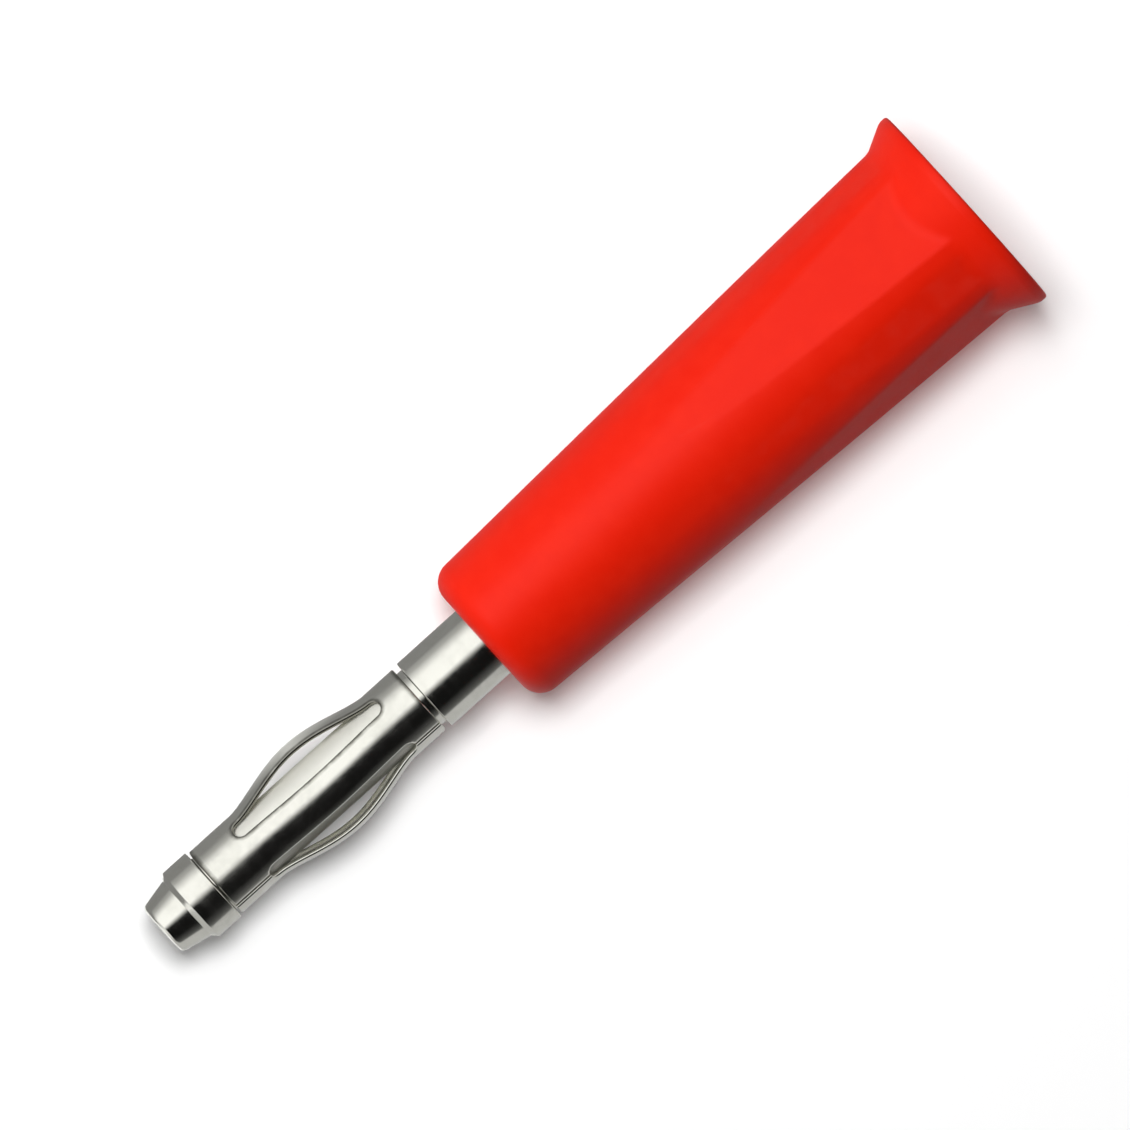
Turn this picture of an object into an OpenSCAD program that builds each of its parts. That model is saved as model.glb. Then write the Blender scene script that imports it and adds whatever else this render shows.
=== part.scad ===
// Banana plug, 4 mm: a screw-on insulating handle, a turned contact stud and a bowed contact spring.
// The plug stands on the flat rear face of its flange, with the pin pointing up along +Z.
// The origin is the centre of that rear face. All sizes are millimetres.

/* [Handle] */
// Length of the handle from its rear face to its front face
handle_len = 30.7; // [26:0.1:36]
// Diameter of the tapered body where it reaches the front face
front_d = 7.7; // [6.8:0.1:9]
// Diameter that the same taper reaches at the rear face
rear_d = 10.2; // [9.6:0.1:10.8]
// Radius of the rounded front edge
front_edge_r = 1.15; // [0.4:0.05:1.4]

/* [Grip flats] */
// Distance from the front face at which the four wide flats start
wide_flat_start = 13; // [10:0.1:18]
// Distance across two opposite wide flats where they meet the flare
wide_flat_across = 9.1; // [8.6:0.05:9.4]
// Distance from the front face at which the four narrow flats start
narrow_flat_start = 14.5; // [10:0.1:18]
// Distance across two opposite narrow flats where they meet the flare
narrow_flat_across = 9.9; // [9.7:0.05:9.98]
// Turn of the flats about the plug's axis
flat_turn = 17.4; // [0:0.1:45]

/* [Flange] */
// Diameter of the round flange
flange_d = 11.4; // [11:0.1:14]
// Thickness of the flange at its rim
rim_t = 0.45; // [0.3:0.05:0.8]
// Angle between the flare and the plug's axis
flare_angle = 28; // [20:1:45]
// Radius of the rim's rounded rear edge
rim_edge_r = 0.15; // [0.05:0.01:0.2]

/* [Passage for the lead] */
// Diameter of the passage that the lead enters by
passage_d = 4.6; // [4.2:0.1:5.4]
// Radius of the rounded mouth of the passage
mouth_r = 0.7; // [0.3:0.05:0.9]
// Diameter of the narrower chamber where the bared wire lies round the stud's tail
chamber_d = 4; // [3.6:0.1:4.2]
// Distance from the step that stops the lead's insulation to the stud's tail
chamber_room = 1; // [0.4:0.1:3]

/* [Stud] */
// Diameter of the plain shank
shank_d = 3.9; // [3.7:0.05:4]
// Length of shank that shows in front of the handle
shank_show = 3.75; // [2.5:0.05:6]
// Depth of the handle's seat that takes the end of the shank
seat_depth = 1.2; // [0.6:0.05:2]
// Diameter of the threaded length
thread_d = 3.4; // [3:0.05:3.5]
// Length of thread held by the handle
thread_len = 8; // [5:0.1:10]
// Diameter of the tail behind the thread
tail_d = 2.9; // [2.4:0.05:3]
// Length of the tail behind the thread
tail_len = 5; // [3.5:0.1:7]
// Diameter of the cross hole for the bared wire
wire_hole_d = 1.5; // [1:0.05:1.7]
// Width of the chamfer at the end of the tail
tail_chamfer = 0.3; // [0.1:0.05:0.5]

/* [Nose] */
// Diameter of the nose's cylindrical collar
nose_d = 4; // [3.9:0.05:4.1]
// Length of the nose's cylindrical collar
nose_collar_len = 1.45; // [0.8:0.05:2.5]
// Length of the chamfer in front of the collar
nose_chamfer = 0.25; // [0.1:0.05:0.5]
// Diameter at the root of the tip cone
tip_root_d = 3.45; // [3:0.05:3.8]
// Diameter at the front of the tip cone
tip_d = 2.8; // [2:0.05:3]
// Length of the tip cone
tip_len = 1.55; // [0.8:0.05:3]
// Radius of the tip's rounded edge
tip_edge_r = 0.3; // [0.1:0.05:0.5]

/* [Contact spring] */
// Thickness of the spring sheet
sheet_t = 0.25; // [0.2:0.01:0.35]
// Outside diameter of the spring's two collars
collar_d = 3.8; // [3.6:0.05:3.9]
// Length of the collar next to the nose
front_collar_len = 2.65; // [1.6:0.05:3.5]
// Length of the collar next to the shank
rear_collar_len = 2; // [1.2:0.05:3]
// Length of the leaves between the collars
leaf_len = 8.3; // [6:0.1:12]
// Width of one leaf
leaf_w = 2; // [1.4:0.05:2.3]
// Outside diameter over the leaves at their widest
bulge_d = 5.3; // [4.4:0.05:5.8]
// Shape of the bow: 2 is a slack wave, 1 a full arch
bow_power = 1.4; // [1.1:0.1:2]
// Extra radius of the round slot ends, beyond half the width of the slot
slot_end_relief = 0.03; // [0.01:0.01:0.1]
// Turn of the leaves about the plug's axis
leaf_turn = 8; // [0:1:45]
// Gap at the seam of the rolled sheet
seam_gap = 0.15; // [0.05:0.01:0.4]
// Gap between the spring and the nose
spring_front_gap = 0.1; // [0.05:0.01:0.3]
// Gap between the spring and the shank
spring_rear_gap = 0.3; // [0.1:0.01:0.5]

/* [Fits] */
// Radial clearance of the shank and the thread in the handle
screw_clearance = 0.05; // [0.02:0.01:0.09]
// Radial clearance of the spring's collars on the neck
neck_clearance = 0.05; // [0.02:0.01:0.09]

/* [Hidden] */

$fn = 96;
LEAVES = 4;
WIDE_FLATS = 4;
BOW_STEPS = 20;
ROUND_STEPS = 6;
OVERCUT = 1;

// Heights along the plug, from the rear face up
seat_z = handle_len - seat_depth;
chamber_top = seat_z - thread_len;
tail_z = chamber_top - tail_len;
step_z = tail_z - chamber_room;
shank_top = handle_len + shank_show;
spring_z = shank_top + spring_rear_gap;
leaf_z = spring_z + rear_collar_len;
leaf_top = leaf_z + leaf_len;
spring_top = leaf_top + front_collar_len;
nose_z = spring_top + spring_front_gap;
chamfer_z = nose_z + nose_collar_len;
tip_z = chamfer_z + nose_chamfer;
plug_top = tip_z + tip_len;

// Radii that follow from the fits
neck_r = collar_d / 2 - sheet_t - neck_clearance;
seat_r = shank_d / 2 + screw_clearance;
tap_r = thread_d / 2 + screw_clearance;
bulge_rise = (bulge_d - collar_d) / 2;

// Angle from one wide flat to the next; a narrow flat lies midway
flat_step = 360 / WIDE_FLATS;

// Angle between neighbouring leaves, and the round slot ends that fit between them
leaf_step = 360 / LEAVES;
leaf_half_angle = asin(leaf_w / collar_d);
slot_end_r = collar_d / 2 * sin(leaf_step / 2 - leaf_half_angle) + slot_end_relief;

// Radius of the tapered body at height z
function body_r(z) = rear_d / 2 + (front_d - rear_d) / 2 * z / handle_len;

// Height at which the flare has come down to the radius r
function flare_z(r) = rim_t + (flange_d / 2 - r) / tan(flare_angle);

// Points of an arc about c, from angle a to angle b
function arc(c, r, a, b, steps = ROUND_STEPS) =
    [for (i = [0:steps]) c + r * [cos(a + (b - a) * i / steps), sin(a + (b - a) * i / steps)]];

// Outside radius of the leaves at the share u of their length, from the rear collar to the front one
function leaf_r(u) = collar_d / 2 + bulge_rise * pow(sin(180 * u), bow_power);

// Tapered body with its rounded front edge
module tapered_body() {
    taper = atan((rear_d - front_d) / 2 / handle_len);
    edge_z = handle_len - front_edge_r;
    edge_x = body_r(edge_z) - front_edge_r / cos(taper);
    rotate_extrude()
        polygon(concat([[0, 0], [rear_d / 2, 0]],
            arc([edge_x, edge_z], front_edge_r, taper, 90),
            [[0, handle_len]]));
}

// Wedge that leaves one flat on the body, between its start and the flange
module flat_cut(start, across) {
    start_z = handle_len - start;
    flare_meet = flare_z(across / 2);
    slope = (across / 2 - body_r(start_z)) / (start_z - flare_meet);
    floor_r = across / 2 + slope * (flare_meet + OVERCUT);
    rotate([90, 0, 0])
        linear_extrude(height = flange_d, center = true)
            polygon([
                [body_r(start_z), start_z],
                [floor_r, -OVERCUT],
                [flange_d, -OVERCUT],
                [flange_d, start_z]]);
}

// Flare and flange, round all the way
module flange() {
    root_r = passage_d / 2 + mouth_r;
    rotate_extrude()
        polygon(concat([[0, 0]],
            arc([flange_d / 2 - rim_edge_r, rim_edge_r], rim_edge_r, -90, 0),
            [[flange_d / 2, rim_t], [root_r, flare_z(root_r)], [0, flare_z(root_r)]]));
}

// Space inside the handle: rounded mouth, passage, tapped bore and seat for the shank
module handle_inside() {
    passage_r = passage_d / 2;
    rotate_extrude()
        polygon(concat(
            [[0, -OVERCUT], [passage_r + mouth_r, -OVERCUT]],
            arc([passage_r + mouth_r, mouth_r], mouth_r, 270, 180),
            [[passage_r, step_z], [chamber_d / 2, step_z], [chamber_d / 2, chamber_top],
             [tap_r, chamber_top], [tap_r, seat_z], [seat_r, seat_z],
             [seat_r, handle_len + OVERCUT], [0, handle_len + OVERCUT]]));
}

module handle() {
    color("red")
        difference() {
            union() {
                difference() {
                    tapered_body();
                    for (i = [0:WIDE_FLATS - 1])
                        rotate(flat_turn + flat_step * i) {
                            flat_cut(wide_flat_start, wide_flat_across);
                            rotate(flat_step / 2) flat_cut(narrow_flat_start, narrow_flat_across);
                        }
                }
                flange();
            }
            handle_inside();
        }
}

module stud() {
    color("gainsboro")
        difference() {
            rotate_extrude()
                polygon(concat(
                    [[0, tail_z],
                     [tail_d / 2 - tail_chamfer, tail_z], [tail_d / 2, tail_z + tail_chamfer],
                     [tail_d / 2, chamber_top], [thread_d / 2, chamber_top],
                     [thread_d / 2, seat_z], [shank_d / 2, seat_z],
                     [shank_d / 2, shank_top], [neck_r, shank_top],
                     [neck_r, nose_z], [nose_d / 2, nose_z],
                     [nose_d / 2, chamfer_z], [tip_root_d / 2, tip_z]],
                    arc([tip_d / 2 - tip_edge_r, plug_top - tip_edge_r], tip_edge_r, 0, 90),
                    [[0, plug_top]]));
            translate([0, 0, tail_z + tail_len / 2])
                rotate([90, 0, 0])
                    cylinder(d = wire_hole_d, h = 2 * tail_d, center = true);
        }
}

// Bowed sheet between the collars, before it is parted into leaves
module bow() {
    outside = [for (i = [0:BOW_STEPS]) [leaf_r(i / BOW_STEPS), leaf_z + leaf_len * i / BOW_STEPS]];
    inside = [for (i = [BOW_STEPS:-1:0]) outside[i] - [sheet_t, 0]];
    rotate_extrude() polygon(concat(outside, inside));
}

// Leaves cut from the bow, each of one width all along
module leaves() {
    intersection() {
        bow();
        for (i = [0:LEAVES / 2 - 1])
            rotate(leaf_step * i)
                translate([-bulge_d, -leaf_w / 2, leaf_z])
                    cube([2 * bulge_d, leaf_w, leaf_len]);
    }
}

// One collar of the rolled sheet, starting at height z
module collar(z, length) {
    rotate_extrude()
        translate([collar_d / 2 - sheet_t, z])
            square([sheet_t, length]);
}

// Round end of every slot at one collar, centred at height z
module slot_ends(z) {
    for (i = [0:LEAVES - 1])
        translate([0, 0, z])
            rotate([0, 90, leaf_step * (i + 0.5)])
                cylinder(r = slot_end_r, h = bulge_d);
}

// Seam where the two edges of the rolled sheet meet, in the middle of one slot
module seam() {
    rotate(2.5 * leaf_step)
        translate([0, -seam_gap / 2, spring_z - OVERCUT])
            cube([bulge_d, seam_gap, spring_top - spring_z + 2 * OVERCUT]);
}

module spring() {
    color("silver")
        rotate(-leaf_turn)
            difference() {
                union() {
                    leaves();
                    collar(spring_z, rear_collar_len);
                    collar(leaf_top, front_collar_len);
                }
                slot_ends(leaf_z);
                slot_ends(leaf_top);
                seam();
            }
}

handle();
stud();
spring();
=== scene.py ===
# %% [markdown]
# A banana plug joins a test lead to a 4 mm socket. This one has three pieces: a red moulded handle, a
# turned contact stud, and a springy cage of four bowed leaves that grips the inside of the socket. The
# CAD model is loaded first as a fixed frame. It has every size, but its edges are sharp and its thread is
# left out, so each piece is built again here as a finer mesh in the same place.
# %% Load the frame
import math

import bmesh
import bpy
import numpy as np
from mathutils import Matrix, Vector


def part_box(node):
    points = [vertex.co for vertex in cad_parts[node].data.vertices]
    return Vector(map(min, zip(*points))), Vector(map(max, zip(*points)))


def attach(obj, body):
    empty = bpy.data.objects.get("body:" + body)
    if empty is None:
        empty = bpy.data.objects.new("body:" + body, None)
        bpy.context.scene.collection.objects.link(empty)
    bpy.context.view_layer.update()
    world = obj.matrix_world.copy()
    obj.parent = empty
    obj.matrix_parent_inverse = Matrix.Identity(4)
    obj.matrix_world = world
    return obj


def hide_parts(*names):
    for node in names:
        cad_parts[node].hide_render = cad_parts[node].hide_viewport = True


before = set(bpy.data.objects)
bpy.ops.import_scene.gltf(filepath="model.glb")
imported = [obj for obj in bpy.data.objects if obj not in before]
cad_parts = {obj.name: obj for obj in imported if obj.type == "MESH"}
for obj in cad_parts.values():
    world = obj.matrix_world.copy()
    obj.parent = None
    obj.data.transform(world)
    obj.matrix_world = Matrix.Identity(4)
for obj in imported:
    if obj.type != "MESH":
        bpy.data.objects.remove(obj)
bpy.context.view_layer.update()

# %% [markdown]
# A plug is easiest to think of in millimetres, while the frame is in metres. The main sizes could be
# typed in again, but then this file might drift away from the CAD model. They are read from the frame's
# boxes instead, and only the small sizes that no box shows are written in the steps below.
# %% Read the main sizes
MM = 0.001


def box_mm(node):
    """Lowest and highest corner of a CAD node, in millimetres."""
    low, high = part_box(node)
    return np.array(low) / MM, np.array(high) / MM


handle_low, handle_high = box_mm("handle")
stud_low, stud_high = box_mm("stud")
spring_low, spring_high = box_mm("spring")
FLANGE_R = min(-handle_low[:2].max(), handle_high[:2].min())
FRONT_Z = handle_high[2]
TAIL_Z, TIP_Z = stud_low[2], stud_high[2]
SPRING_Z, SPRING_TOP = spring_low[2], spring_high[2]
BULGE_R = spring_high[:2].max()
print(f"handle {FRONT_Z:.2f} mm long, flange {2 * FLANGE_R:.2f} mm, tip at {TIP_Z:.2f} mm")

# %% [markdown]
# Handle and stud are both made on a round plan, so one helper serves both: it lays rings of points about
# the plug's axis and skins them with faces. Two neighbouring rings may have different numbers of points,
# as long as one is a multiple of the other. That keeps the faces inside a hole few while the outside
# stays fine.
# %% Rings of points and the skin over them


def ring(radius, z, count):
    """Points about the axis at height z; radius is one number, or one for each point."""
    angle = np.arange(count) * 2 * math.pi / count
    radius = np.broadcast_to(radius, count)
    return np.stack([radius * np.cos(angle), radius * np.sin(angle), np.full(count, z)], 1)


def bridge(a, b):
    """Faces between two rings of vertex numbers."""
    if len(a) < len(b):
        return [face[::-1] for face in bridge(b, a)]
    share = len(a) // len(b)
    faces = []
    for i in range(len(b)):
        run = [a[(share * i + k) % len(a)] for k in range(share + 1)]
        faces.append(run + [b[(i + 1) % len(b)], b[i]])
    return faces


def skin(rings, closed):
    """Points and faces over a row of rings, joined end to start or drawn to a point at each end."""
    points = list(np.concatenate(rings))
    ends = np.cumsum([len(r) for r in rings])
    numbers = [list(range(end - len(r), end)) for r, end in zip(rings, ends)]
    pairs = list(zip(numbers, numbers[1:]))
    if closed:
        pairs.append((numbers[-1], numbers[0]))
    faces = [face for a, b in pairs for face in bridge(a, b)]
    if not closed:
        for end in (0, -1):
            points.append(rings[end].mean(0))
            around = numbers[end]
            faces += [[around[i - 1], around[i], len(points) - 1] for i in range(len(around))]
    return np.array(points), faces


print("a ring of 8 points and one of 4 share", len(bridge(list(range(8)), list(range(8, 12)))), "faces")

# %% [markdown]
# No real edge is perfectly sharp: a lathe tool or a mould leaves a small radius, and that radius is what
# catches the light. A Bevel modifier could add it afterwards, but on a round piece it is simpler to round
# the profile's corners before it is turned. Each rounding gets a spare point just outside it, so that
# smooth shading doesn't bend the flat next to it. The path also marks how far each point lies on an outer
# edge, which the materials later use for wear.
# %% Profiles with rounded corners
EDGE_STEPS = 5
HOLD = 0.3


def rounded_path(corners, steps=EDGE_STEPS):
    """Points (r, z, edge mark) of a profile given as corners (r, z, rounding)."""
    path = []
    for i, (r, z, rounding) in enumerate(corners):
        if rounding == 0:
            path.append((r, z, 0.0))
            continue
        here = np.array([r, z], float)
        before = np.array(corners[i - 1][:2]) - here
        after = np.array(corners[i + 1][:2]) - here
        before /= np.linalg.norm(before)
        after /= np.linalg.norm(after)
        half = math.acos(before @ after) / 2
        reach = rounding / math.tan(half)
        centre = here + (before + after) / np.linalg.norm(before + after) * rounding / math.sin(half)
        start = here + before * reach - centre
        end = here + after * reach - centre
        first = math.atan2(start[1], start[0])
        sweep = (math.atan2(end[1], end[0]) - first + math.pi) % (2 * math.pi) - math.pi
        outer = 1.0 if sweep > 0 else 0.0
        path.append((*(here + before * (reach + HOLD * rounding)), 0.0))
        for k in range(steps + 1):
            angle = first + sweep * k / steps
            mark = outer * math.sin(math.pi * k / steps)
            path.append((*(centre + rounding * np.array([math.cos(angle), math.sin(angle)])), mark))
        path.append((*(here + after * (reach + HOLD * rounding)), 0.0))
    return path


def turned_rings(path, count):
    """Rings of a profile, and the edge mark of each of their points."""
    rings = [ring(r, z, count) for r, z, mark in path]
    marks = [np.full(count, mark) for r, z, mark in path]
    return rings, marks


print("one rounded corner has", len(rounded_path([(0, 0, 0), (1, 0, 0.1), (1, 1, 0)])) - 2, "points")

# %% [markdown]
# A finished mesh becomes a piece of the plug: it rides on the CAD body that it belongs to, and that
# body's CAD node is hidden. Sharp edges that are left, such as those of a drilled hole, are marked by
# their angle so that smooth shading stops there.
# %% Make a mesh into a piece
SHARP_ANGLE = math.radians(40)
WELD_DISTANCE = 0.0005


def plug_piece(name, points, faces, marks, node):
    """Mesh object from points in millimetres, riding on the body of the CAD node it stands for."""
    mesh = bpy.data.meshes.new(name)
    mesh.from_pydata([tuple(p) for p in points * MM], [], faces)
    mesh.attributes.new("edge", "FLOAT", "POINT").data.foreach_set("value", marks.astype(np.float32))
    work = bmesh.new()
    work.from_mesh(mesh)
    bmesh.ops.remove_doubles(work, verts=work.verts, dist=WELD_DISTANCE * MM)
    bmesh.ops.recalc_face_normals(work, faces=work.faces)
    work.to_mesh(mesh)
    work.free()
    mesh.shade_smooth()
    mesh.set_sharp_from_angle(angle=SHARP_ANGLE)
    piece = bpy.data.objects.new(name, mesh)
    bpy.context.scene.collection.objects.link(piece)
    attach(piece, node)
    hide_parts(node)
    print(f"{name}: {len(mesh.vertices)} points, {len(mesh.polygons)} faces")
    return piece


# %% [markdown]
# The handle is a round taper that loses its roundness towards the rear: four wide flats and four narrow
# ones between them give the fingers a grip, and a flare runs out to a round flange. Cutting it with
# Booleans would leave hard creases. Instead each point's radius is worked out: the smallest of taper and
# flats, then the larger of that and the flare. A soft minimum rounds the edges where two of these meet,
# as a mould does.
# %% Shape of the handle's outside
TAPER_REAR_R = 5.1
TAPER_FRONT_R = 3.85
FRONT_ROUND = 1.15
FLATS = 4
FLAT_TURN = math.radians(17.4)
WIDE_START, WIDE_ACROSS = 13.0, 9.1
NARROW_START, NARROW_ACROSS = 14.5, 9.9
RIM_T = 0.45
RIM_ROUND = 0.15
FLARE = math.tan(math.radians(28))
FLAT_BLEND = 0.07
RIM_BLEND = 0.1
ROOT_BLEND = 0.2
BLEND_DIP = 0.25
OUTSIDE_COUNT = 288
flat_step = 2 * math.pi / FLATS
around_handle = np.arange(OUTSIDE_COUNT) * 2 * math.pi / OUTSIDE_COUNT


def soft_min(a, b, blend):
    """Smaller of two lengths, rounded over where they differ by less than the blend."""
    share = np.clip(0.5 + 0.5 * (b - a) / blend, 0, 1)
    return b * (1 - share) + a * share - blend * share * (1 - share)


def taper_r(z):
    """Radius of the round taper at height z."""
    return TAPER_REAR_R + (TAPER_FRONT_R - TAPER_REAR_R) * z / FRONT_Z


def flat_r(z, start, across, turn):
    """Radius at which each direction meets the nearest of the flats."""
    start_z = FRONT_Z - start
    meet_z = RIM_T + (FLANGE_R - across / 2) / FLARE
    slope = (across / 2 - taper_r(start_z)) / (start_z - meet_z)
    off_normal = (around_handle - turn + flat_step / 2) % flat_step - flat_step / 2
    return (across / 2 + slope * (meet_z - z)) / np.cos(off_normal)


def handle_r(z):
    """Radius of the handle's outside at height z, and its edge mark, for each direction."""
    sharp = np.minimum(taper_r(z), flat_r(z, WIDE_START, WIDE_ACROSS, FLAT_TURN))
    soft = soft_min(taper_r(z), flat_r(z, WIDE_START, WIDE_ACROSS, FLAT_TURN), FLAT_BLEND)
    soft = soft_min(soft, flat_r(z, NARROW_START, NARROW_ACROSS, FLAT_TURN + flat_step / 2), FLAT_BLEND)
    mark = np.clip((sharp - soft) / (FLAT_BLEND * BLEND_DIP), 0, 1)
    flare = soft_min(FLANGE_R, FLANGE_R - (z - RIM_T) * FLARE, RIM_BLEND)
    full = -soft_min(-soft, -flare, ROOT_BLEND)
    mark = np.where(flare > soft, np.clip(1 - abs(z - RIM_T) / RIM_BLEND, 0, 1), mark)
    return full, mark


for z in (RIM_T, FRONT_Z / 4, FRONT_Z / 2):
    radius = handle_r(z)[0]
    print(f"handle at {z:.2f} mm: radius {radius.min():.2f} to {radius.max():.2f} mm")

# %% [markdown]
# Inside, the handle is hollow from end to end: a rounded mouth and a passage for the lead, a narrower
# chamber for the bared wire, a thread, and a seat for the stud's shank. A thread is a ridge that climbs
# one pitch in each turn, so its height depends only on z / pitch minus the share of a turn. The same rule
# makes the groove of the stud, a little wider, so the two run in each other when the stud is screwed out.
# %% Shape of the handle's inside
PITCH = 0.8
THREAD_STEPS = 20
SEAT_DEPTH, THREAD_LEN, CHAMBER_ROOM = 1.2, 8.0, 1.0
SEAT_Z = FRONT_Z - SEAT_DEPTH
CHAMBER_TOP = SEAT_Z - THREAD_LEN
STEP_Z = TAIL_Z - CHAMBER_ROOM
SEAT_R, TAP_R, CHAMBER_R, PASSAGE_R = 2.0, 1.75, 2.0, 2.3
MOUTH_ROUND = 0.7
RIDGE_H = 0.25
RIDGE_TOP, RIDGE_FOOT = 0.16, 0.36
RIDGE_MARGIN = 0.9
INNER_ROUND = 0.06
SEAT_ROUND = 0.1
INSIDE_COUNT = 72


def thread_form(z, count, top, foot, low, high, fade):
    """Height from 0 to 1 of a helical ridge at height z, fading out at both ends."""
    share = np.arange(count) / count
    off_middle = abs((z / PITCH - share) % 1 - 0.5)
    rise = np.clip((foot - off_middle) / (foot - top), 0, 1)
    return rise * np.clip(min(z - low, high - z) / fade, 0, 1)


def tapped_rings():
    """Rings of the handle's thread, from the seat down to the chamber."""
    rings = []
    steps = int((SEAT_Z - CHAMBER_TOP) / PITCH * THREAD_STEPS)
    margin = INNER_ROUND * 2
    for z in np.linspace(SEAT_Z - margin, CHAMBER_TOP + margin, steps):
        ridge = thread_form(z, INSIDE_COUNT, RIDGE_TOP, RIDGE_FOOT,
                            CHAMBER_TOP + margin, SEAT_Z - RIDGE_MARGIN, PITCH / 2)
        rings.append(ring(TAP_R - RIDGE_H * ridge, z, INSIDE_COUNT))
    return rings


print(f"thread of {PITCH} mm pitch, {(SEAT_Z - CHAMBER_TOP) / PITCH:.0f} turns")

# %% [markdown]
# The handle's rings now follow its section all the way round: rear rim, outside, front edge, seat,
# thread, chamber, passage and mouth. The last ring joins the first on the flat rear face, which closes
# the skin. Heights are closer together where the flare and the rim bend, and wider apart on the plain
# taper.
# %% Build the handle
FRONT_FACE_R = 2.3
REAR_FACE_R = 4.2
FORMULA_LOW, FORMULA_HIGH = 0.32, 29.1
HEIGHT_BANDS = ((0.7, 14), (4.2, 64), (16.0, 44), (22.0, 30), (FORMULA_HIGH, 20))
FRONT_STEPS, MOUTH_STEPS = 16, 8
heights = []
band_low = FORMULA_LOW
for band_high, count in HEIGHT_BANDS:
    heights += list(np.linspace(band_low, band_high, count, endpoint=band_high == FORMULA_HIGH))
    band_low = band_high
rim = rounded_path([(REAR_FACE_R, 0, 0), (FLANGE_R, 0, RIM_ROUND), (FLANGE_R, FORMULA_LOW, 0)])[:-1]
front = rounded_path([(taper_r(FORMULA_HIGH), FORMULA_HIGH, 0), (taper_r(FRONT_Z), FRONT_Z, FRONT_ROUND),
                      (FRONT_FACE_R, FRONT_Z, 0)], steps=FRONT_STEPS)[1:]
seat = rounded_path([(FRONT_FACE_R - SEAT_ROUND, FRONT_Z, 0), (SEAT_R, FRONT_Z, SEAT_ROUND),
                     (SEAT_R, SEAT_Z, INNER_ROUND), (TAP_R, SEAT_Z, INNER_ROUND),
                     (TAP_R, CHAMBER_TOP, 0)])[:-1]
hollow = rounded_path([(TAP_R, SEAT_Z, 0), (TAP_R, CHAMBER_TOP, INNER_ROUND),
                       (CHAMBER_R, CHAMBER_TOP, INNER_ROUND), (CHAMBER_R, STEP_Z, INNER_ROUND),
                       (PASSAGE_R, STEP_Z, INNER_ROUND), (PASSAGE_R, 0, MOUTH_ROUND),
                       (REAR_FACE_R, 0, 0)], steps=MOUTH_STEPS)[1:-1]
rings, marks = turned_rings(rim, OUTSIDE_COUNT)
for z in heights:
    radius, mark = handle_r(z)
    rings.append(ring(radius, z, OUTSIDE_COUNT))
    marks.append(mark)
for path, count in ((front, OUTSIDE_COUNT), (seat, INSIDE_COUNT)):
    more_rings, more_marks = turned_rings(path, count)
    rings += more_rings
    marks += more_marks
rings += tapped_rings()
marks += [np.zeros(INSIDE_COUNT)] * (len(rings) - len(marks))
more_rings, more_marks = turned_rings(hollow, INSIDE_COUNT)
points, faces = skin(rings + more_rings, closed=True)
marks = np.concatenate(marks + more_marks)
handle = plug_piece("handle_moulding", points, faces, marks, "handle")

# %% [markdown]
# The stud is one piece of turned brass: a tail with a cross hole for the bared wire, a threaded length,
# the shank, a thin neck that the spring sits on, and the nose. All but the thread is a plain profile. The
# thread starts with a short chamfer, so that it finds its way into the handle, and fades out under the
# shank.
# %% Build the stud
STUD_COUNT = 128
TAIL_R, THREAD_R, SHANK_R, NECK_R, NOSE_R = 1.45, 1.7, 1.95, 1.6, 2.0
GROOVE_DEPTH = 0.28
GROOVE_TOP, GROOVE_FOOT = 0.16, 0.38
TAIL_CHAMFER = 0.3
REAR_GAP, FRONT_GAP = 0.3, 0.1
SHANK_TOP = SPRING_Z - REAR_GAP
NOSE_Z = SPRING_TOP + FRONT_GAP
TIP_LEN, TIP_ROOT_R, TIP_R, TIP_ROUND = 1.55, 1.725, 1.4, 0.3
NOSE_CHAMFER = 0.25
TURNED_ROUND, FINE_ROUND, TAIL_ROUND = 0.07, 0.05, 0.1
thread_low, thread_high = CHAMBER_TOP, SEAT_Z - TURNED_ROUND * 2

tail = rounded_path([(0, TAIL_Z, 0), (TAIL_R - TAIL_CHAMFER, TAIL_Z, FINE_ROUND),
                     (TAIL_R, TAIL_Z + TAIL_CHAMFER, TAIL_ROUND), (TAIL_R, thread_low, 0)])[1:]
head = rounded_path([(THREAD_R, thread_low, 0), (THREAD_R, SEAT_Z, FINE_ROUND),
                     (SHANK_R, SEAT_Z, TURNED_ROUND), (SHANK_R, SHANK_TOP, TURNED_ROUND),
                     (NECK_R, SHANK_TOP, FINE_ROUND), (NECK_R, NOSE_Z, FINE_ROUND),
                     (NOSE_R, NOSE_Z, TURNED_ROUND), (NOSE_R, TIP_Z - TIP_LEN - NOSE_CHAMFER, TURNED_ROUND),
                     (TIP_ROOT_R, TIP_Z - TIP_LEN, FINE_ROUND), (TIP_R, TIP_Z, TIP_ROUND),
                     (0, TIP_Z, 0)])[1:-1]
rings, marks = turned_rings(tail, STUD_COUNT)
thread_rows = int((thread_high - thread_low) / PITCH * THREAD_STEPS)
for z in np.linspace(thread_low, thread_high, thread_rows)[1:]:
    groove = thread_form(z, STUD_COUNT, GROOVE_TOP, GROOVE_FOOT, thread_low - PITCH, thread_high, PITCH / 2)
    radius = np.minimum(THREAD_R - GROOVE_DEPTH * groove, TAIL_R + z - thread_low)
    rings.append(ring(radius, z, STUD_COUNT))
    marks.append(1 - groove)
more_rings, more_marks = turned_rings(head, STUD_COUNT)
points, faces = skin(rings + more_rings, closed=False)
marks = np.concatenate(marks + more_marks + [np.zeros(2)])
stud = plug_piece("stud_turning", points, faces, marks, "stud")

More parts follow.
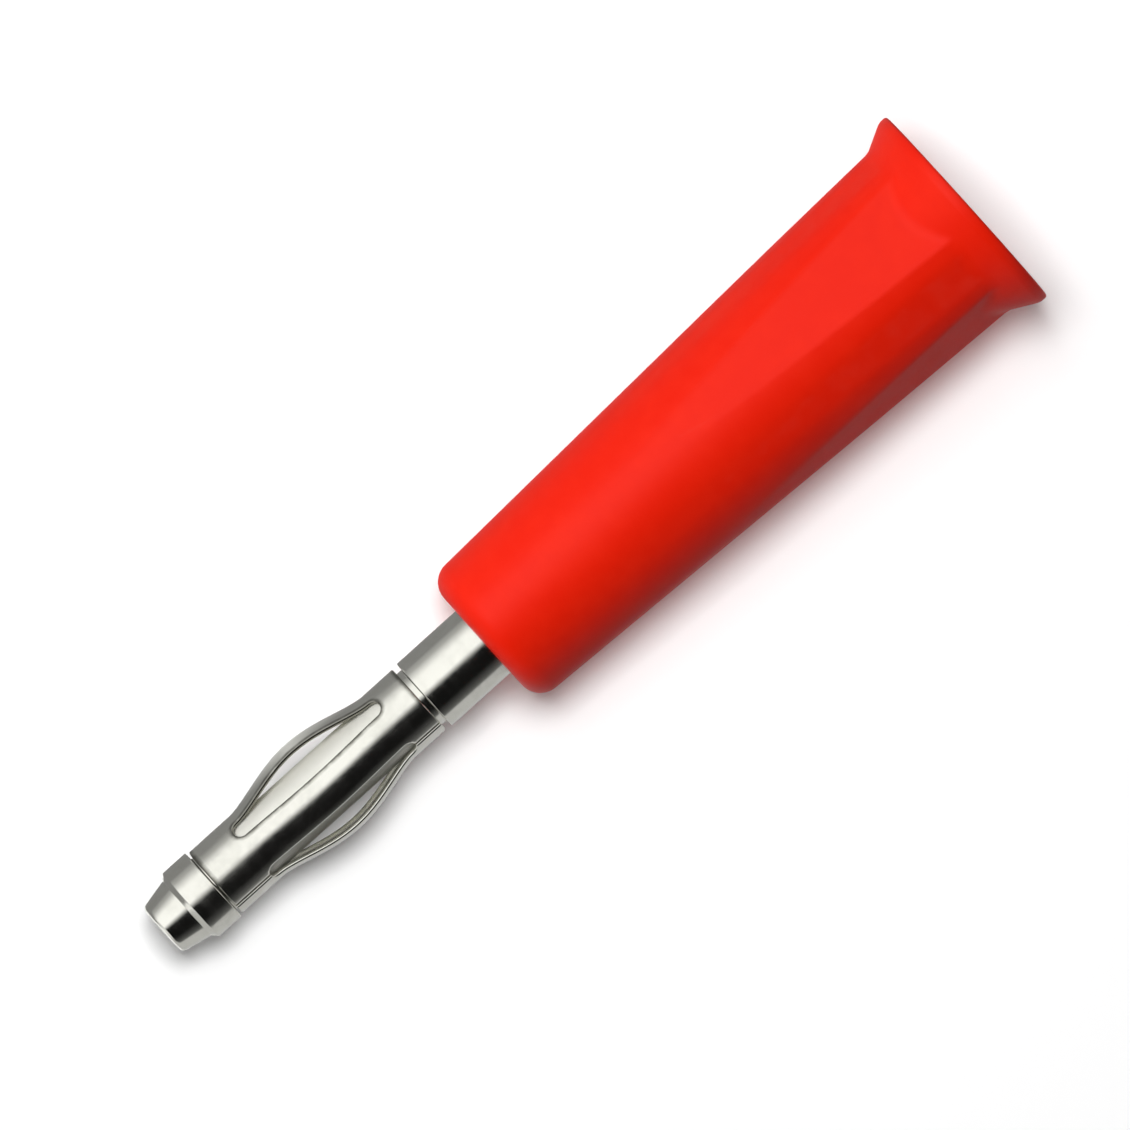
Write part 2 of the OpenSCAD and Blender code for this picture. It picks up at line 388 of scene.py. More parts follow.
# %% [markdown]
# The wire hole is drilled right through the tail, square to the axis. A round hole through a round bar
# has a curved saddle edge that is tedious to lay out by hand, and a Boolean modifier cuts it exactly. The
# cutter is built with the same rings, and is thrown away once the cut has been applied.
# %% Drill the wire hole
WIRE_HOLE_R = 0.75
WIRE_HOLE_Z = (TAIL_Z + CHAMBER_TOP) / 2
DRILL_COUNT, DRILL_RINGS = 48, 9
DRILL_REACH = 2 * TAIL_R
drill_heights = np.linspace(-DRILL_REACH, DRILL_REACH, DRILL_RINGS)
drill_rings = [ring(WIRE_HOLE_R, z, DRILL_COUNT) for z in drill_heights]
drill_points, drill_faces = skin(drill_rings, closed=False)
drill_points = drill_points[:, [0, 2, 1]] + np.array([0, 0, WIRE_HOLE_Z])
drill_mesh = bpy.data.meshes.new("drill")
drill_mesh.from_pydata([tuple(p) for p in drill_points * MM], [], drill_faces)
work = bmesh.new()
work.from_mesh(drill_mesh)
bmesh.ops.recalc_face_normals(work, faces=work.faces)
work.to_mesh(drill_mesh)
work.free()
drill = bpy.data.objects.new("drill", drill_mesh)
bpy.context.scene.collection.objects.link(drill)
cut = stud.modifiers.new("wire hole", "BOOLEAN")
cut.operation = "DIFFERENCE"
cut.solver = "EXACT"
cut.object = drill
drilled = bpy.data.meshes.new_from_object(stud.evaluated_get(bpy.context.evaluated_depsgraph_get()))
stud.modifiers.clear()
stud.data = drilled
stud.data.set_sharp_from_angle(angle=SHARP_ANGLE)
bpy.data.objects.remove(drill)
print("stud after drilling:", len(stud.data.polygons), "faces")

# %% [markdown]
# The spring starts as a flat strip: slots with round ends are punched in it, it is rolled into a tube,
# and the four leaves are pressed outwards. The mesh is made the same way, as a single curved sheet with
# no thickness, one leaf at a time. Each row of points runs from edge to edge of a leaf, keeps the curve
# that rolling gave it while the bow moves it outwards, and spreads until it meets the neighbouring leaf
# at the collars. Only the seam, where the strip's two ends meet, stays open. Rows and columns lie closer
# together near the edges.
# %% Shape of the spring's sheet
LEAVES = 4
SEAM_LEAF = 2
LEAF_TURN = math.radians(-8)
SHEET_T = 0.25
PUNCHED_ROUND = 0.1
COLLAR_R = 1.9
REAR_COLLAR, FRONT_COLLAR = 2.0, 2.65
LEAF_W = 2.0
BOW_POWER = 1.4
SEAM_GAP = 0.15
LEAF_ROWS, SLOT_ROWS, COLLAR_ROWS = 72, 12, 8
LEAF_COLUMNS = 21
leaf_z, leaf_top = SPRING_Z + REAR_COLLAR, SPRING_TOP - FRONT_COLLAR
sector_half = math.pi / LEAVES
leaf_half = math.asin(LEAF_W / 2 / COLLAR_R)
slot_end_r = COLLAR_R * math.sin(sector_half - leaf_half)
seam_angle = math.asin(SEAM_GAP / 2 / COLLAR_R)
low_tip, high_tip = leaf_z - slot_end_r, leaf_top + slot_end_r
slot_rows = slot_end_r * np.cos(np.linspace(0, math.pi / 2, SLOT_ROWS, endpoint=False))
edge_steps = PUNCHED_ROUND * np.append(1 - np.cos(np.linspace(0, math.pi / 2, EDGE_STEPS)), 1 + HOLD)
rows = np.unique(np.concatenate([
    SPRING_Z + edge_steps, np.linspace(SPRING_Z, low_tip, COLLAR_ROWS)[1:-1], low_tip - edge_steps,
    leaf_z - slot_rows, np.linspace(leaf_z, leaf_top, LEAF_ROWS), leaf_top + slot_rows,
    high_tip + edge_steps, np.linspace(high_tip, SPRING_TOP, COLLAR_ROWS)[1:-1], SPRING_TOP - edge_steps,
]))


def bow(z):
    """How far a leaf is pressed outwards at height z."""
    share = np.clip((z - leaf_z) / (leaf_top - leaf_z), 0, 1)
    return (BULGE_R - COLLAR_R) * math.sin(math.pi * share) ** BOW_POWER


def half_angle(z):
    """Angle from the middle of a leaf to its edge at height z."""
    into_collar = max(leaf_z - z, z - leaf_top, 0)
    half_gap = math.sqrt(max(slot_end_r ** 2 - into_collar ** 2, 0))
    return sector_half - math.asin(half_gap / COLLAR_R)


def edge_distance(z, off_middle, at_seam):
    """Distance on the sheet from a point to the nearest edge."""
    off_slot = COLLAR_R * math.sin(sector_half - abs(off_middle))
    into_collar = max(leaf_z - z, z - leaf_top, 0)
    nearest = min(z - SPRING_Z, SPRING_TOP - z, math.hypot(off_slot, into_collar) - slot_end_r)
    if at_seam:
        nearest = min(nearest, off_slot - SEAM_GAP / 2)
    return max(nearest, 0)


print(f"{LEAVES} leaves {LEAF_W} mm wide, slot ends of {slot_end_r:.2f} mm radius, {len(rows)} rows")

# %% [markdown]
# Now the points are laid out. Beside its place, each point gets the direction the sheet faces there and
# its distance from the nearest edge. Leaves meet in the collars at the same places, so points that fall
# together are made one. Punched edges get a dark, dull mark that fades over a fraction of a millimetre:
# partly the punched metal's own dullness, partly painted shade for the dark line beside each leaf's edge.
# The edges along the seam are bright in the photograph, so they get none.
# %% Lay out the sheet
# How far the dark punched-edge mark reaches; it is partly painted shade.
MARK_REACH = 0.28
SLOPE_STEP = 0.001
WELD_DIGITS = 4
sheet, facing, edge_gaps, sheet_marks, sheet_faces = [], [], [], [], []
for leaf in range(LEAVES):
    start = len(sheet)
    seam_side = {SEAM_LEAF: 1, SEAM_LEAF + 1: -1}.get(leaf, 0)
    middle = LEAF_TURN + 2 * sector_half * leaf
    outward = np.array([math.cos(middle), math.sin(middle), 0])
    for z in rows:
        slope = (bow(z + SLOPE_STEP) - bow(z - SLOPE_STEP)) / (2 * SLOPE_STEP)
        left = right = half_angle(z)
        if seam_side > 0:
            right = min(right, sector_half - seam_angle)
        if seam_side < 0:
            left = min(left, sector_half - seam_angle)
        from_left = -left + edge_steps / COLLAR_R
        from_right = right - edge_steps[::-1] / COLLAR_R
        between = np.linspace(from_left[-1], from_right[0], LEAF_COLUMNS)[1:-1]
        columns = np.concatenate([from_left, between, from_right])
        for off_middle in columns:
            at_seam = off_middle * seam_side > 0
            rolled = np.array([math.cos(middle + off_middle), math.sin(middle + off_middle), 0])
            normal = rolled - np.array([0, 0, slope * math.cos(off_middle)])
            sheet.append(bow(z) * outward + COLLAR_R * rolled + np.array([0, 0, z]))
            facing.append(normal / np.linalg.norm(normal))
            edge_gaps.append(edge_distance(z, off_middle, at_seam))
            sheet_marks.append(0.0 if at_seam else max(1 - edge_gaps[-1] / MARK_REACH, 0))
    row_len = len(columns)
    for i in range(len(rows) - 1):
        for j in range(row_len - 1):
            corner = start + i * row_len + j
            sheet_faces.append([corner, corner + 1, corner + row_len + 1, corner + row_len])
_, first, weld = np.unique(np.round(sheet, WELD_DIGITS), axis=0, return_index=True, return_inverse=True)
weld = weld.ravel()
sheet, facing = np.array(sheet)[first], np.array(facing)[first]
edge_gaps, sheet_marks = np.array(edge_gaps)[first], np.array(sheet_marks)[first]
sheet_faces = [[int(weld[v]) for v in face] for face in sheet_faces]
print("spring sheet:", len(sheet), "points")

# %% [markdown]
# A Solidify modifier could give the sheet its thickness and a Bevel could round its edges, but a bevel is
# held back by the smallest face near it, and the slot ends have very small ones. The distance from the
# edge does the same with no limit: the outer face sinks and the inner one rises along a quarter circle as
# they near an edge, and a narrow wall closes what is left between them.
# %% Give the sheet its thickness
from_centre = PUNCHED_ROUND - np.minimum(edge_gaps, PUNCHED_ROUND)
sunk = PUNCHED_ROUND - np.sqrt(PUNCHED_ROUND ** 2 - from_centre ** 2)
outer = sheet - facing * sunk[:, None]
inner = sheet - facing * (SHEET_T - sunk)[:, None]
sides = {(a, b) for face in sheet_faces for a, b in zip(face, face[1:] + face[:1])}
open_sides = [(a, b) for a, b in sorted(sides) if (b, a) not in sides]
sheet_len = len(sheet)
faces = sheet_faces + [[v + sheet_len for v in face[::-1]] for face in sheet_faces]
faces += [[b, a, a + sheet_len, b + sheet_len] for a, b in open_sides]
spring = plug_piece("spring_cage", np.concatenate([outer, inner]), faces, np.tile(sheet_marks, 2),
                    "spring")

# %% [markdown]
# Materials come next. Several effects are shared, so each is a shader node group with named inputs and
# outputs, built once and placed in every material that needs it. A few small helpers keep the node code
# short: they add a node and set or link its inputs, mix colours, map one range to another, and open or
# place a group.
# %% Helpers for shader nodes


def add(tree, kind, inputs=None, **settings):
    """New node of a kind; inputs are values or sockets by name or number, settings are its properties."""
    made = tree.nodes.new(kind)
    for key, value in settings.items():
        setattr(made, key, value)
    for key, value in (inputs or {}).items():
        if isinstance(value, bpy.types.NodeSocket):
            tree.links.new(value, made.inputs[key])
        else:
            made.inputs[key].default_value = value
    return made


def math_node(tree, operation, a, b=0.0, clamp=False):
    """Output of one Math node."""
    return add(tree, "ShaderNodeMath", {0: a, 1: b}, operation=operation, use_clamp=clamp).outputs[0]


def mix_colour(tree, share, a, b):
    """Output of a colour Mix node, from a at share 0 to b at share 1."""
    return add(tree, "ShaderNodeMix", {0: share, 6: a, 7: b}, data_type="RGBA").outputs[2]


def spread(tree, value, low, high, new_low=0.0, new_high=1.0):
    """Value mapped from one range to another, and clamped there."""
    inputs = {"Value": value, "From Min": low, "From Max": high, "To Min": new_low, "To Max": new_high}
    return add(tree, "ShaderNodeMapRange", inputs).outputs["Result"]


def new_group(name, numbers, outputs):
    """Group tree with float inputs, and the nodes that stand for its inputs and outputs."""
    tree = bpy.data.node_groups.new(name, "ShaderNodeTree")
    for key, value in numbers.items():
        tree.interface.new_socket(key, in_out="INPUT", socket_type="NodeSocketFloat").default_value = value
    for key in outputs:
        tree.interface.new_socket(key, in_out="OUTPUT", socket_type="NodeSocketFloat")
    return tree, tree.nodes.new("NodeGroupInput"), tree.nodes.new("NodeGroupOutput")


def use_group(tree, group, **numbers):
    """Places a group in a material with its own values; the underscores in a name stand for spaces."""
    placed = tree.nodes.new("ShaderNodeGroup")
    placed.node_tree = group
    for key, value in numbers.items():
        placed.inputs[key.replace("_", " ").capitalize()].default_value = value
    return placed


print("node helpers ready")

# %% [markdown]
# Handling leaves faint, cloudy patches that are a little less glossy. Two sizes of noise, multiplied,
# give patches with broken edges. The group puts out a mask, and each material decides what the mask does.
# %% Group: handling haze
FINE_RATIO = 5.3
HAZE_LOW, HAZE_HIGH = 0.18, 0.4
NOISE_DETAIL = 2.0
haze_group, given, result = new_group("Handling haze", {"Patch size": 0.004, "Contrast": 1.0}, ["Mask"])
place = add(haze_group, "ShaderNodeTexCoord").outputs["Object"]
patch_scale = math_node(haze_group, "DIVIDE", 1.0, given.outputs["Patch size"])
fine_scale = math_node(haze_group, "MULTIPLY", patch_scale, FINE_RATIO)
broad, fine = [add(haze_group, "ShaderNodeTexNoise",
                   {"Vector": place, "Scale": scale, "Detail": NOISE_DETAIL}).outputs[0]
               for scale in (patch_scale, fine_scale)]
cloud = math_node(haze_group, "MULTIPLY", broad, fine)
mask = spread(haze_group, cloud, HAZE_LOW, HAZE_HIGH)
mask = math_node(haze_group, "MULTIPLY", mask, given.outputs["Contrast"], clamp=True)
haze_group.links.new(mask, result.inputs["Mask"])
print("made", haze_group.name)

# %% [markdown]
# Edges are rubbed first. The meshes carry an edge mark, and the group breaks it up with noise so that the
# wear comes and goes along an edge. On the spring the same mask places painted shade along the punched
# edges. The amount moves the point at which it shows.
# %% Group: edge wear and edge shade
WEAR_DETAIL = 3.0
WEAR_SPAN = 0.3
wear_and_shade_group, given, result = new_group("Edge wear and shade", {"Amount": 0.5, "Patch size": 0.001}, ["Mask"])
place = add(wear_and_shade_group, "ShaderNodeTexCoord").outputs["Object"]
edge = add(wear_and_shade_group, "ShaderNodeAttribute", attribute_name="edge").outputs["Fac"]
patch_scale = math_node(wear_and_shade_group, "DIVIDE", 1.0, given.outputs["Patch size"])
rough = add(wear_and_shade_group, "ShaderNodeTexNoise", {"Vector": place, "Scale": patch_scale, "Detail": WEAR_DETAIL})
rubbed = math_node(wear_and_shade_group, "MULTIPLY", edge, rough.outputs[0])
threshold = math_node(wear_and_shade_group, "SUBTRACT", 1.0, given.outputs["Amount"])
above = math_node(wear_and_shade_group, "SUBTRACT", rubbed, threshold)
wear_and_shade_group.links.new(spread(wear_and_shade_group, above, 0.0, WEAR_SPAN), result.inputs["Mask"])
print("made", wear_and_shade_group.name)

# %% [markdown]
# Every surface here has a fine grain with a direction: the moulding has a faint even grain, the turned
# stud has rings from the lathe tool, and the rolled sheet has drawn lines along its length. All three are
# one noise that is squeezed by different amounts across the axis and along it, so a single group makes
# them all.
# %% Group: tool grain
GRAIN_LOW, GRAIN_HIGH = 0.35, 0.65
grain_group, given, result = new_group(
    "Tool grain", {"Along size": 0.0001, "Around size": 0.0001, "Detail": NOISE_DETAIL}, ["Height", "Mask"])
place = add(grain_group, "ShaderNodeTexCoord").outputs["Object"]
wide, tall = given.outputs["Around size"], given.outputs["Along size"]
sizes = add(grain_group, "ShaderNodeCombineXYZ", {0: wide, 1: wide, 2: tall}).outputs[0]
squeezed = add(grain_group, "ShaderNodeVectorMath", {0: place, 1: sizes}, operation="DIVIDE").outputs[0]
noise = add(grain_group, "ShaderNodeTexNoise",
            {"Vector": squeezed, "Scale": 1.0, "Detail": given.outputs["Detail"]}).outputs[0]
grain_group.links.new(noise, result.inputs["Height"])
grain_group.links.new(spread(grain_group, noise, GRAIN_LOW, GRAIN_HIGH), result.inputs["Mask"])
print("made", grain_group.name)

# %% [markdown]
# The handle is red nylon with a soft gloss. Its colour is nearly even, but moulded plastic is never quite
# flat: the flow of the melt leaves broad, faint changes of tone, and rubbed edges are a shade paler. The
# grain goes into the bump and the roughness, so the highlight has a fine texture when seen close.
# %% Material: red moulded nylon
NYLON_DEEP, NYLON_LIGHT = (0.90, 0.0135, 0.0014, 1), (0.93, 0.017, 0.0022, 1)
NYLON_RUBBED = (0.9, 0.05, 0.03, 1)
RUBBED_SHARE = 0.2
NYLON_ROUGH_LOW, NYLON_ROUGH_HIGH, NYLON_GRAIN_ROUGH = 0.34, 0.40, 0.05
NYLON_BUMP, NYLON_RELIEF = 0.25, 0.00002


def new_material(name, **uniform):
    """Material with a Principled shader; uniform values are set on the shader's own sockets."""
    material = bpy.data.materials.new(name)
    material.use_nodes = True
    shader = material.node_tree.nodes["Principled BSDF"]
    for key, value in uniform.items():
        shader.inputs[key.replace("_", " ")].default_value = value
    return material, material.node_tree, shader


nylon, tree, shader = new_material("red nylon", IOR=1.52, Specular_IOR_Level=0.13)
haze = use_group(tree, haze_group, patch_size=0.005, contrast=0.8).outputs["Mask"]
wear = use_group(tree, wear_and_shade_group, amount=0.55, patch_size=0.0012).outputs["Mask"]
grain = use_group(tree, grain_group, along_size=0.00012, around_size=0.00012, detail=NOISE_DETAIL).outputs
colour = mix_colour(tree, haze, NYLON_DEEP, NYLON_LIGHT)
colour = mix_colour(tree, math_node(tree, "MULTIPLY", wear, RUBBED_SHARE), colour, NYLON_RUBBED)
tree.links.new(colour, shader.inputs["Base Color"])
roughness = spread(tree, haze, 0.0, 1.0, NYLON_ROUGH_LOW, NYLON_ROUGH_HIGH)
roughness = math_node(tree, "ADD", roughness, math_node(tree, "MULTIPLY", grain["Mask"], NYLON_GRAIN_ROUGH))
tree.links.new(roughness, shader.inputs["Roughness"])
relief = {"Strength": NYLON_BUMP, "Distance": NYLON_RELIEF, "Height": grain["Height"]}
bump = add(tree, "ShaderNodeBump", relief)
tree.links.new(bump.outputs[0], shader.inputs["Normal"])
handle.data.materials.append(nylon)
print("material", nylon.name)

# %% [markdown]
# Stud and spring are both nickel plated, a slightly warm white metal. They differ in how they were made:
# the stud has rings from turning, the sheet has fine drawn lines. One function builds both, each with its
# own grain sizes and roughness. Where the stud's edges are rubbed, the brass below shows faintly. The
# punched edges of the sheet are dark and dull, partly as punched metal and partly as painted shade for the
# dark line beside each leaf's edge.
# %% Materials: nickel plate on turned brass and on spring sheet
BARE_BRASS = (0.80, 0.72, 0.52, 1)
# Dark colour of the sheet's punched edges: partly dull punched metal, partly painted shade.
PUNCHED_METAL_AND_SHADE = (0.12, 0.117, 0.095, 1)
NICKEL_CLEAR, NICKEL_HAZED = (0.82, 0.815, 0.75, 1), (0.76, 0.755, 0.69, 1)
EDGE_SHARE = 0.8
HAZE_ROUGH, GRAIN_ROUGH = 0.08, 0.04
NICKEL_RELIEF = 0.000004


def nickel_plate(name, along, around, gloss, marks, wear_and_shade_amount, edge_colour):
    """Plated metal with its own grain, given as sizes along and around the axis in metres."""
    material, tree, shader = new_material(name, Metallic=1.0)
    haze = use_group(tree, haze_group, patch_size=0.003, contrast=0.9).outputs["Mask"]
    wear = use_group(tree, wear_and_shade_group, amount=wear_and_shade_amount, patch_size=0.0006).outputs["Mask"]
    grain = use_group(tree, grain_group, along_size=along, around_size=around, detail=NOISE_DETAIL).outputs
    colour = mix_colour(tree, haze, NICKEL_CLEAR, NICKEL_HAZED)
    # On the spring this mix paints shade along the punched edges, besides their dullness.
    colour = mix_colour(tree, math_node(tree, "MULTIPLY", wear, EDGE_SHARE), colour, edge_colour)
    tree.links.new(colour, shader.inputs["Base Color"])
    roughness = spread(tree, haze, 0.0, 1.0, gloss, gloss + HAZE_ROUGH)
    roughness = math_node(tree, "ADD", roughness, math_node(tree, "MULTIPLY", grain["Mask"], GRAIN_ROUGH))
    tree.links.new(roughness, shader.inputs["Roughness"])
    relief = {"Strength": marks, "Distance": NICKEL_RELIEF, "Height": grain["Height"]}
    bump = add(tree, "ShaderNodeBump", relief)
    tree.links.new(bump.outputs[0], shader.inputs["Normal"])
    print("material", name)
    return material, tree, shader, roughness


stud_nickel, tree, shader, roughness = nickel_plate(
    "nickel on turned brass", along=0.00005, around=0.004, gloss=0.12, marks=0.35, wear_and_shade_amount=0.42,
    edge_colour=BARE_BRASS)
# The spring's dark punched edges are partly painted shade beside each leaf's edge.
sheet_nickel = nickel_plate(
    "nickel on spring sheet", along=0.003, around=0.00005, gloss=0.14, marks=0.3, wear_and_shade_amount=0.95,
    edge_colour=PUNCHED_METAL_AND_SHADE)[0]
stud.data.materials.append(stud_nickel)
spring.data.materials.append(sheet_nickel)

# %% [markdown]
# The neck under the spring is never polished, and its plating stays dull. In the photograph it shows
# bright and even through the upper slot, while the polished metal beside it mirrors the room. A mask
# along the stud's height finds the neck, and makes it rough and only partly metallic.
# %% Dull neck of the stud
NECK_LOW, NECK_HIGH = SPRING_Z + REAR_COLLAR / 2, SPRING_TOP - FRONT_COLLAR / 2
NECK_FADE = 0.1
NECK_METAL = 0.35
NECK_ROUGH = 0.4
place = add(tree, "ShaderNodeTexCoord").outputs["Object"]
height = add(tree, "ShaderNodeSeparateXYZ", {0: place}).outputs[2]
above = spread(tree, height, NECK_LOW * MM, (NECK_LOW + NECK_FADE) * MM)
below = spread(tree, height, NECK_HIGH * MM, (NECK_HIGH - NECK_FADE) * MM)
neck = math_node(tree, "MULTIPLY", above, below)
tree.links.new(spread(tree, neck, 0.0, 1.0, 1.0, NECK_METAL), shader.inputs["Metallic"])
dulled = math_node(tree, "ADD", roughness, math_node(tree, "MULTIPLY", neck, NECK_ROUGH))
tree.links.new(dulled, shader.inputs["Roughness"])
print(f"dull neck from {NECK_LOW:.2f} to {NECK_HIGH:.2f} mm")

# %% [markdown]
# The plug of the photograph lies on a white table, so that table is the floor of this scene. The frame
# has the plug's axis along Z, and it is the camera that is turned, so the floor stands behind the plug:
# it touches the flange and the front of the handle and takes their soft shadow. It glows a little for
# camera, glossy and transmission rays, which makes it white there, and it throws less light back than it
# shows, because the plug's lower side is dark in the photograph. From behind it is clear, where it would
# hide the plug.
# %% Floor
FLOOR_LOW, FLOOR_HIGH = -150.0, 200.0
FLOOR_HALF = 150.0
FLOOR_GAP = 0.03
FLOOR_SHOWN, FLOOR_BOUNCE = 0.85, 0.42
FLOOR_GLOW = 0.1


def seen_rays(tree):
    """Two masks: one of camera, glossy and transmission rays together, and one of shadow rays."""
    path = add(tree, "ShaderNodeLightPath").outputs
    seen = math_node(tree, "MAXIMUM", path["Is Camera Ray"], path["Is Glossy Ray"])
    return math_node(tree, "MAXIMUM", seen, path["Is Transmission Ray"]), path["Is Shadow Ray"]


def stage_object(name, points, faces, material):
    """Mesh of the stage, points in millimetres."""
    mesh = bpy.data.meshes.new(name)
    mesh.from_pydata([tuple(np.array(p) * MM) for p in points], [], faces)
    mesh.materials.append(material)
    made = bpy.data.objects.new(name, mesh)
    bpy.context.scene.collection.objects.link(made)
    return made


def empty_material(name):
    """Material with no nodes yet, and its node tree."""
    material = bpy.data.materials.new(name)
    material.use_nodes = True
    material.node_tree.nodes.clear()
    return material, material.node_tree


floor_material, tree = empty_material("pale floor")
seen, shadow_ray = seen_rays(tree)
shade = spread(tree, seen, 0.0, 1.0, FLOOR_BOUNCE, FLOOR_SHOWN)
matt = add(tree, "ShaderNodeBsdfDiffuse", {"Color": shade}).outputs[0]
floor_glow = math_node(tree, "MULTIPLY", seen, FLOOR_GLOW)
glow = add(tree, "ShaderNodeEmission", {"Strength": floor_glow}).outputs[0]
front_side = add(tree, "ShaderNodeAddShader", {0: matt, 1: glow}).outputs[0]
behind = add(tree, "ShaderNodeNewGeometry").outputs["Backfacing"]
clear = math_node(tree, "MAXIMUM", behind, shadow_ray)
nothing = add(tree, "ShaderNodeBsdfTransparent").outputs[0]
surface = add(tree, "ShaderNodeMixShader", {0: clear, 1: front_side, 2: nothing}).outputs[0]
add(tree, "ShaderNodeOutputMaterial", {"Surface": surface})

touch_z = FRONT_Z - FRONT_ROUND
floor_lean = (FLANGE_R - taper_r(touch_z)) / touch_z


def floor_y(z):
    """Where the floor stands at height z."""
    return FLANGE_R + FLOOR_GAP - floor_lean * z


floor_points = [(x, floor_y(z), z) for x, z in ((-FLOOR_HALF, FLOOR_LOW), (FLOOR_HALF, FLOOR_LOW),
                                                (FLOOR_HALF, FLOOR_HIGH), (-FLOOR_HALF, FLOOR_HIGH))]
floor = stage_object("floor", floor_points, [[0, 1, 2, 3]], floor_material)
print(f"floor leans {math.degrees(math.atan(floor_lean)):.1f} degrees")

# %% [markdown]
# Bright metal shows its surroundings, so they have to be planned. The photograph's nickel has a white
# band from a large soft light at the upper left, and a black band beside it from a dark part of the room.
# A curved wall round the front of the set gives both, with a ramp of grey over the direction it is seen
# in. It is there for mirrored rays only, so it hides nothing and lights nothing.
# %% Wall for the metal to mirror
WALL_R = 900.0
WALL_HALF_H = 1200.0
WALL_COUNT = 64
WALL_REACH = 110
WALL_PEAK = 1.2
WALL_LIGHT = [(-WALL_REACH, 0.22), (-76, 0.06), (-58, 0.006), (-10, 0.006),
              (6, WALL_PEAK), (48, 1.15), (76, 0.45), (WALL_REACH, 0.2)]


def mirror_only(obj):
    """Hides a stage object from every ray but the glossy ones."""
    obj.visible_camera = False
    obj.visible_diffuse = False
    obj.visible_transmission = False
    obj.visible_shadow = False


wall_material, tree = empty_material("studio wall")
place = add(tree, "ShaderNodeTexCoord").outputs["Object"]
parts = add(tree, "ShaderNodeSeparateXYZ", {0: place}).outputs
towards_camera = math_node(tree, "MULTIPLY", parts[1], -1.0)
bearing = math_node(tree, "ARCTAN2", parts[0], towards_camera)
share = spread(tree, bearing, math.radians(-WALL_REACH), math.radians(WALL_REACH))
ramp = add(tree, "ShaderNodeValToRGB", {"Fac": share})
stops = ramp.color_ramp.elements
for degrees, light in WALL_LIGHT[1:-1]:
    stops.new((degrees + WALL_REACH) / (2 * WALL_REACH))
for stop, (degrees, light) in zip(stops, WALL_LIGHT):
    stop.color = (*[light / WALL_PEAK] * 3, 1)
glow_inputs = {"Color": ramp.outputs["Color"], "Strength": WALL_PEAK}
wall_glow = add(tree, "ShaderNodeEmission", glow_inputs).outputs[0]
add(tree, "ShaderNodeOutputMaterial", {"Surface": wall_glow})
bearings = np.radians(np.linspace(-WALL_REACH, WALL_REACH, WALL_COUNT))
wall_points = [(WALL_R * math.sin(a), -WALL_R * math.cos(a), z) for z in (-WALL_HALF_H, WALL_HALF_H)
               for a in bearings]
wall_faces = [[i, i + 1, WALL_COUNT + i + 1, WALL_COUNT + i] for i in range(WALL_COUNT - 1)]
mirror_only(stage_object("studio_wall", wall_points, wall_faces, wall_material))
print("studio wall:", len(wall_faces), "faces")

# %% [markdown]
# Towards its two rims the metal mirrors the table beside it, which is grey in the plug's own shade. Cards
# that only mirrored rays meet lie there, just over the floor: a dim one at the upper side, a lighter one
# below the pin and a dim one below the handle. The upper card grows lighter beside the bulge of the
# leaves, and fades evenly to both sides, because a hard border would show as a line in the metal.
# %% Cards for the metal's rims
CARD_START = 2.5
CARD_LIFT = 0.2
UPPER_GLOW, LOWER_GLOW, HANDLE_GLOW = 0.25, 0.52, 0.3
BULGE_GLOW = 0.65
BULGE_REACH = 4.0


def grey_card(name, side, low, high, light):
    """Glowing card on the floor, at one side of the plug; returns its node tree and glow node."""
    card_material, tree = empty_material(name)
    glow = add(tree, "ShaderNodeEmission", {"Strength": light})
    add(tree, "ShaderNodeOutputMaterial", {"Surface": glow.outputs[0]})
    card_points = [(side * x, floor_y(z) - CARD_LIFT, z) for x, z in ((CARD_START, low), (FLOOR_HALF, low),
                                                                     (FLOOR_HALF, high), (CARD_START, high))]
    mirror_only(stage_object(name, card_points, [[0, 1, 2, 3]], card_material))
    return tree, glow


tree, glow = grey_card("upper_card", 1, FLOOR_LOW, FLOOR_HIGH, UPPER_GLOW)
place = add(tree, "ShaderNodeTexCoord").outputs["Object"]
height = add(tree, "ShaderNodeSeparateXYZ", {0: place}).outputs[2]
bulge_z = (leaf_z + leaf_top) / 2
off_bulge = math_node(tree, "ABSOLUTE", math_node(tree, "SUBTRACT", height, bulge_z * MM))
faded = spread(tree, off_bulge, 0.0, BULGE_REACH * MM, BULGE_GLOW, UPPER_GLOW)
tree.links.new(faded, glow.inputs["Strength"])
grey_card("lower_card", -1, FRONT_Z, FLOOR_HIGH, LOWER_GLOW)
grey_card("handle_card", -1, FLOOR_LOW, FRONT_Z, HANDLE_GLOW)
print(f"upper card is lightest at {bulge_z:.2f} mm, beside the bulge")

# %% [markdown]
# One large soft light does most of the work. It stands to the photograph's upper left and a little
# towards the tip, and a weak one below the flange lifts the flats on the dark side. The shadow in the
# photograph is narrower than the large light would give, so the floor has lamps of its own, nearly in
# front of it, and light linking keeps each lamp to its side. The metal mirrors none of them, because the
# wall has a bright part for that. The world adds a weak, even light and shows as white behind the set,
# and a lamp behind the floor keeps the back of the plug readable.
# %% Lights
LOOK_AT = np.array([0.0, 0.0, 25.5])
WORLD_LIGHT = 0.12


def lit_group(name, objects):
    """Collection of the objects that a lamp may light."""
    group = bpy.data.collections.new(name)
    for obj in objects:
        group.objects.link(obj)
    return group


def soft_light(name, direction, away, size, brightness, lit):
    """Square area light facing the plug; brightness 1 makes a white sheet that faces it come out white."""
    lamp = bpy.data.lights.new(name, "AREA")
    lamp.size = size * MM
    lamp.energy = brightness * (math.pi * away * MM) ** 2
    light = bpy.data.objects.new(name, lamp)
    bpy.context.scene.collection.objects.link(light)
    back = np.array(direction) / np.linalg.norm(direction)
    side = np.cross((0, 0, 1), back)
    side /= np.linalg.norm(side)
    axes = np.stack([side, np.cross(back, side), back], 1)
    light.matrix_world = Matrix.LocRotScale((LOOK_AT + back * away) * MM, Matrix(axes), None)
    light.visible_camera = False
    light.visible_glossy = False
    light.light_linking.receiver_collection = lit


